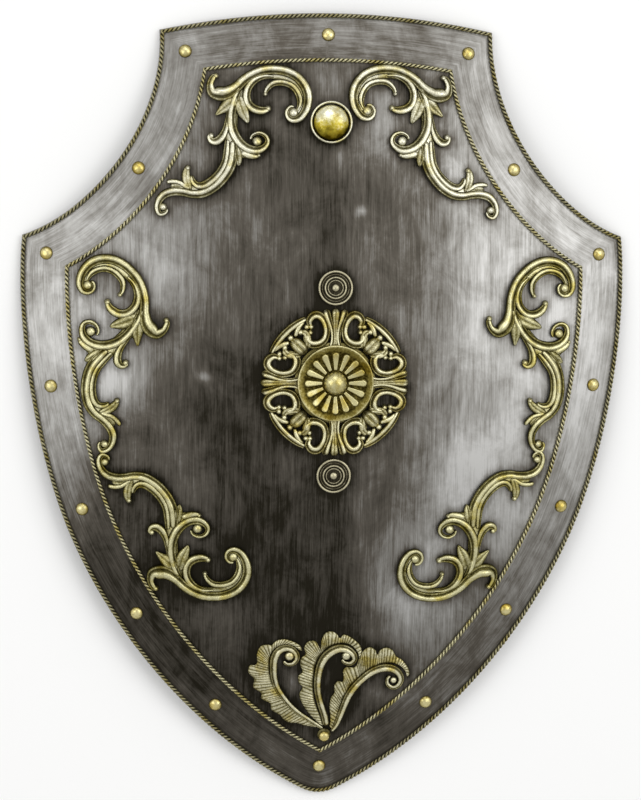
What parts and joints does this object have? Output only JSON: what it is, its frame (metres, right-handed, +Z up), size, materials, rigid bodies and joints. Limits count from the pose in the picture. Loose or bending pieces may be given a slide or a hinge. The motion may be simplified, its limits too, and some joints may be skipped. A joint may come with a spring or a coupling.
{
  "type": "heater shield",
  "caption": "Domed sheet steel heater shield with hollowed upper sides, twisted wire edging, a nailed border and cast foliate brass ornaments on its front, lying face up.",
  "frame": {"origin": "on the ground under the middle of the outline, where the shield lies on its rim", "axes": "+Z up out of the decorated front, +Y towards the top edge, +X to the right seen from the front"},
  "size_m": [0.5062, 0.6621, 0.0632],
  "materials": {
    "steel_sheet": "brushed and darkened in the recesses",
    "twisted_wire": "antiqued, bright on the strands",
    "nail": "antiqued satin",
    "casting": "pale gilt, darkened in the recesses",
    "button": "polished, lightly mottled",
    "dish": "antiqued satin"
  },
  "bodies": {
    "root": {"shield_plate": "steel_sheet", "edge_rope": "twisted_wire", "inner_rope": "twisted_wire", "border_nail_01": "nail", "border_nail_02": "nail", "border_nail_03": "nail", "border_nail_04": "nail", "border_nail_05": "nail", "border_nail_06": "nail", "border_nail_07": "nail", "border_nail_08": "nail", "border_nail_09": "nail", "border_nail_10": "nail", "border_nail_11": "nail", "border_nail_12": "nail", "border_nail_13": "nail", "border_nail_14": "nail", "border_nail_15": "nail", "border_nail_16": "nail", "scroll_top_left": "casting", "scroll_top_right": "casting", "scroll_side_left": "casting", "scroll_side_right": "casting", "scroll_lower_left": "casting", "scroll_lower_right": "casting", "boss_bezel": "casting", "boss_dome": "button", "rosette_ring": "casting", "rosette_dish": "dish", "rosette_stud": "dish", "target_disc_upper": "casting", "target_disc_lower": "casting", "leaf_spray": "casting", "leaf_nail": "nail"}
  },
  "joints": []
}
